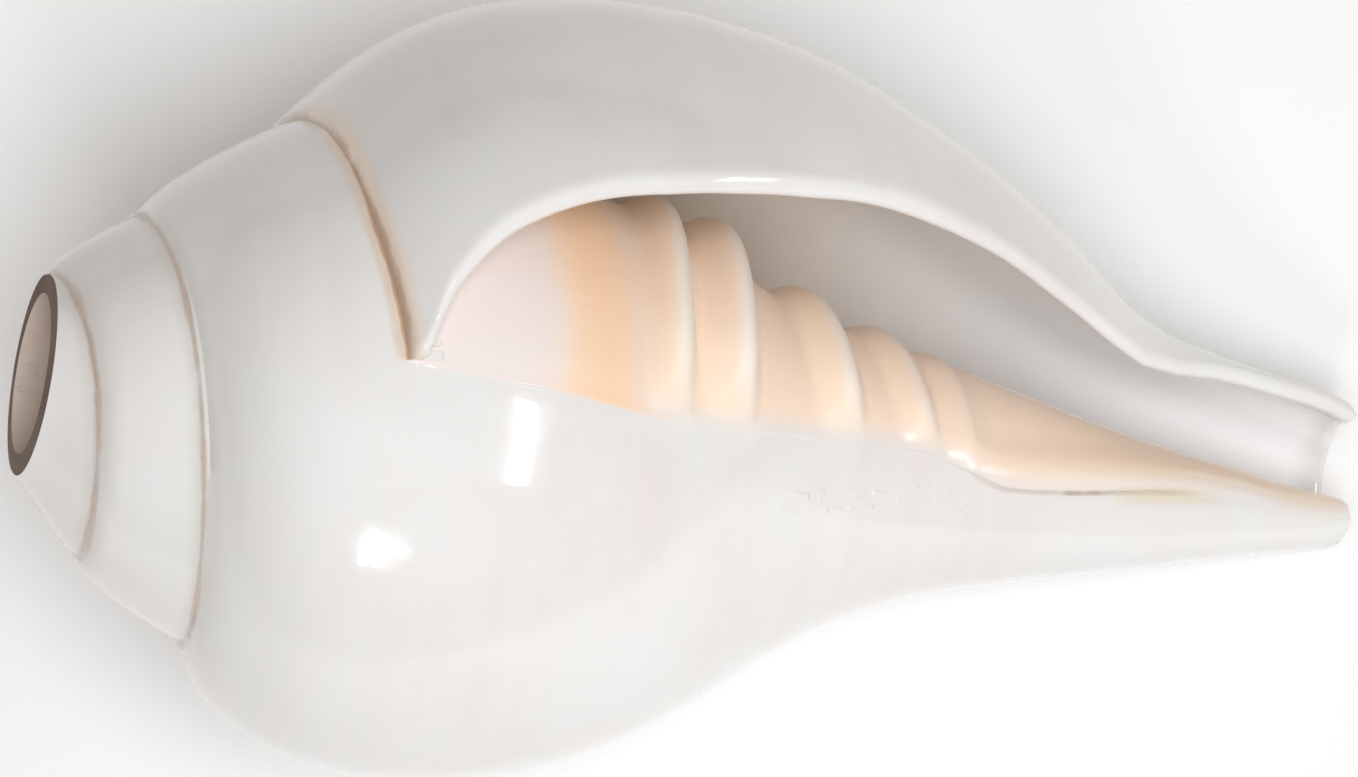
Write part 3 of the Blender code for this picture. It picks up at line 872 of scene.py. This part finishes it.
def callus_colour(make, station, mottle):
    """Pinkish white, then peach with cream crests, then tan along the canal."""
    uneven = make.wobbled(station, mottle, amount=7)
    colour = make.blend(make.between(uneven, *PEACH_STARTS), CALLUS_WHITE, PEACH)
    deep = make.stretch(uneven, DEEP_PEACH_STARTS, DEEP_PEACH_ENDS)
    colour = make.blend(make.times(deep, DEEP_PEACH_SHARE), colour, DEEP_PEACH)
    colour = make.blend(make.between(uneven, *TAN_CANAL_STARTS), colour, SUTURE_PEACH)
    crest = make.coordinate("fold_crest")
    return make.blend(make.times(crest, CREAM_SHARE), colour, CREAM)


def beside_callus(make, station, edge, inside_callus, wander, colour):
    """Adds the ochre along the callus's edge beside the canal, and a brown line of painted shade where
    the slit runs.
    """
    ochre_at = make.stretch(station, OCHRE_STARTS, OCHRE_ENDS)
    ochre = make.times(ochre_at, make.stretch(edge, *OCHRE_RIM))
    colour = make.blend(make.times(ochre, OCHRE_SHARE), colour, OCHRE)
    # Painted shade: a brown line, spotted by the cloud, where the slit under the callus's edge would
    # lie in shade
    slit_at = make.stretch(station, SLIT_STARTS, SLIT_ENDS)
    slit_shade = make.times(make.stretch(inside_callus, *SLIT_RIM), slit_at)
    spotted = make.scaled(make.between(wander, 0.5, 0.62), by=0.45, base=0.3)
    return make.blend(make.times(slit_shade, spotted), colour, SLIT_PAINTED_SHADE)


def low_relief(make, station, edge, inside_callus, unpolished):
    """Growth lines, the callus's thin edge, the row of beads and the saw's pits."""
    lines = make.bands(make.coordinate("spiral_angle"), scale=0.55, detail=3)
    growth_lines = make.times(lines, GROWTH_LINE_HEIGHT)
    film = make.times(make.between(edge, *FILM_RIM), FILM_HEIGHT)
    pits = make.times(make.between(make.cloud(scale=420, detail=2), 0.55, 0.75), PIT_HEIGHT)
    off_beads = make.plus(make.plus(inside_callus, BEADS_BELOW), make.times(station, BEADS_SLANT))
    beaded = make.stretch(station, BEADS_START, BEADS_END)
    in_row = make.between(make.combine("ABSOLUTE", off_beads, 0.0), *BEADS_HALF_WIDTH)
    grains = make.between(make.cloud(scale=800, detail=1), 0.48, 0.74)
    beads = make.times(grains, make.times(in_row, beaded))
    raised = make.plus(make.times(beads, BEAD_HEIGHT), make.times(pits, unpolished))
    return make.plus(make.plus(growth_lines, film), raised)


def shell_finish():
    """Polished shell: white outside, peach on the columella, tan along the sutures, with painted light
    and shade.
    """
    make = Finish("polished_shell")
    station = make.coordinate("station")
    inside_callus = make.coordinate("inside_callus")
    sawn = make.coordinate("sawn")
    bored = make.coordinate("bored")
    mottle = make.cloud(scale=38, detail=4, roughness=0.6)
    wander = make.cloud(scale=120, detail=3, roughness=0.6)
    edge = make.wobbled(inside_callus, wander, amount=1.2)

    soft_rim = make.times(make.between(edge, *SOFT_RIM), make.between(station, *SOFT_RIM_STARTS))
    sharp_rim = make.times(make.between(edge, *SHARP_RIM), make.between(station, *SHARP_RIM_ENDS))
    colour = make.blend(
        make.combine("MAXIMUM", soft_rim, sharp_rim),
        white_outside(make, station, mottle, wander),
        callus_colour(make, station, mottle),
    )
    colour = beside_callus(make, station, edge, inside_callus, wander, colour)
    # Painted light: the hollow's lining is painted lighter than the outside, warm deep in and white
    # along the canal
    painted_light_lining = make.blend(make.between(station, *CANAL_PAINTED_LIGHT_STARTS), LINING_PAINTED_LIGHT, CANAL_PAINTED_LIGHT)
    in_from_edge = make.between(make.coordinate("from_edge"), *LINING_STARTS)
    colour = make.blend(make.times(make.coordinate("hollow"), in_from_edge), colour, painted_light_lining)
    # Sawn ring: its own matt colour, darkened with painted shade
    sawn_colour_and_shade = make.blend(make.between(mottle, 0.4, 0.6), SAWN_SHADED_BROWN, SAWN_SHADED_GREY)
    colour = make.blend(sawn, colour, sawn_colour_and_shade)
    colour = make.blend(bored, colour, BORE_BEIGE)
    make.feed(make.shader.inputs["Base Color"], colour)

    worn = make.scaled(make.between(mottle, 0.4, 0.75), by=WEAR, base=POLISH)
    unpolished = make.plus(sawn, bored)
    satin = make.times(make.between(inside_callus, *SATIN_STARTS), make.between(station, *SATIN_ENDS))
    satin_worn = make.plus(worn, make.times(satin, SATIN_ROUGHNESS))
    rough = make.plus(satin_worn, make.times(unpolished, CUT_ROUGHNESS))
    make.feed(make.shader.inputs["Roughness"], rough)
    uncoated = make.combine("MAXIMUM", unpolished, make.times(satin, SATIN_UNCOATED))
    make.feed(make.shader.inputs["Coat Weight"], make.scaled(uncoated, by=-COAT, base=COAT))
    make.shader.inputs["Coat Roughness"].default_value = COAT_ROUGHNESS
    make.shader.inputs["IOR"].default_value = SHELL_IOR
    make.relief(low_relief(make, station, edge, inside_callus, unpolished), RELIEF_MM)
    return make.material


# The photograph's view: how the shell is turned and slopes in it, then the middle of the view as
# millimetres to the right, up and towards the viewer, and how much of the shell it takes in
VIEW_TURN = math.radians(15.2)
VIEW_SLOPE = math.radians(3.19)
VIEW_MIDDLE = (87.41, 0.08, -22.29)
VIEW_WIDTH = 149.79
VIEW_DISTANCE = 900
SENSOR_WIDTH = 36


def photo_camera(place):
    """The photograph's view: the apex turned a little towards the viewer, the axis sloping."""
    right = Vector((
        math.cos(VIEW_TURN) * math.cos(VIEW_SLOPE),
        math.sin(VIEW_SLOPE),
        math.sin(VIEW_TURN) * math.cos(VIEW_SLOPE),
    ))
    towards = Vector((-math.sin(VIEW_TURN), 0, math.cos(VIEW_TURN)))
    upward = towards.cross(right)
    middle = right * VIEW_MIDDLE[0] + upward * VIEW_MIDDLE[1] + towards * VIEW_MIDDLE[2]
    eye = middle + towards * VIEW_DISTANCE
    stand = Matrix((right, upward, towards)).transposed().to_4x4()
    stand.translation = eye * MM
    data = bpy.data.cameras.new("photo_camera")
    data.sensor_width = SENSOR_WIDTH
    data.lens = SENSOR_WIDTH * VIEW_DISTANCE / VIEW_WIDTH
    data.clip_start = 0.05
    data.clip_end = 20
    camera = bpy.data.objects.new("photo_camera", data)
    camera.matrix_world = place @ stand
    bpy.context.scene.collection.objects.link(camera)
    bpy.context.scene.camera = camera


# The floor, the point that the lights are aimed at, and the room's light
FLOOR_REACH = 3
FLOOR_WHITE = (0.96, 0.96, 0.96, 1)
FLOOR_ROUGHNESS = 0.9
LIGHTS_AIM = Vector((0, 0, 0.04))
ROOM_COLOUR = (1, 0.90, 0.815, 1)
ROOM_STRENGTH = 0.26
FRONT_COLOUR = (0.96, 0.985, 1.0)


def pale_floor():
    """A wide pale floor."""
    bm = bmesh.new()
    bmesh.ops.create_grid(bm, x_segments=1, y_segments=1, size=FLOOR_REACH)
    mesh = bpy.data.meshes.new("floor")
    bm.to_mesh(mesh)
    bm.free()
    floor = bpy.data.objects.new("floor", mesh)
    bpy.context.scene.collection.objects.link(floor)
    material = bpy.data.materials.new("pale_floor")
    material.use_nodes = True
    shader = material.node_tree.nodes["Principled BSDF"]
    shader.inputs["Base Color"].default_value = FLOOR_WHITE
    shader.inputs["Roughness"].default_value = FLOOR_ROUGHNESS
    mesh.materials.append(material)


def soft_light(name, place, size, watts, shape="RECTANGLE", lean=0.0):
    """A studio light aimed at the shell's middle, leaning by some degrees in its own plane."""
    data = bpy.data.lights.new(name, "AREA")
    data.shape = shape
    data.size, data.size_y = size
    data.energy = watts
    light = bpy.data.objects.new(name, data)
    aim = LIGHTS_AIM - Vector(place)
    turn = aim.to_track_quat("-Z", "Y").to_matrix().to_4x4()
    leaning = Matrix.Rotation(math.radians(lean), 4, "Z")
    light.matrix_world = Matrix.Translation(place) @ turn @ leaning
    bpy.context.scene.collection.objects.link(light)
    return light


def studio():
    """A broad light near the viewer, window panes below and a tall window beside the canal."""
    world = bpy.data.worlds.new("studio")
    world.use_nodes = True
    background = world.node_tree.nodes["Background"]
    background.inputs["Color"].default_value = ROOM_COLOUR
    background.inputs["Strength"].default_value = ROOM_STRENGTH
    bpy.context.scene.world = world
    front = soft_light(
        "front_softbox", place=(0.27, -0.40, 1.66), size=(1.0, 1.0), watts=19.5, shape="ELLIPSE"
    )
    front.visible_glossy = False
    front.data.color = FRONT_COLOUR
    soft_light("tall_window", place=(0.98, -0.12, 0.78), size=(0.6, 0.12), watts=2.2)
    soft_light("left_pane", place=(-0.02, -0.95, 0.83), size=(0.05, 0.20), watts=0.5, lean=-14)
    soft_light("middle_pane", place=(0.08, -0.95, 0.87), size=(0.11, 0.24), watts=1.1, lean=6)
    soft_light("right_pane", place=(0.20, -0.95, 0.90), size=(0.05, 0.16), watts=0.4, lean=24)


finish = shell_finish()
mesh, place = sawn_shell(finish)
shell = bpy.data.objects.new("conch_shell", mesh)
bpy.context.scene.collection.objects.link(shell)
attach(shell, "root")
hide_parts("shell")

pale_floor()
studio()
photo_camera(place)
bpy.context.scene.view_settings.view_transform = "Standard"
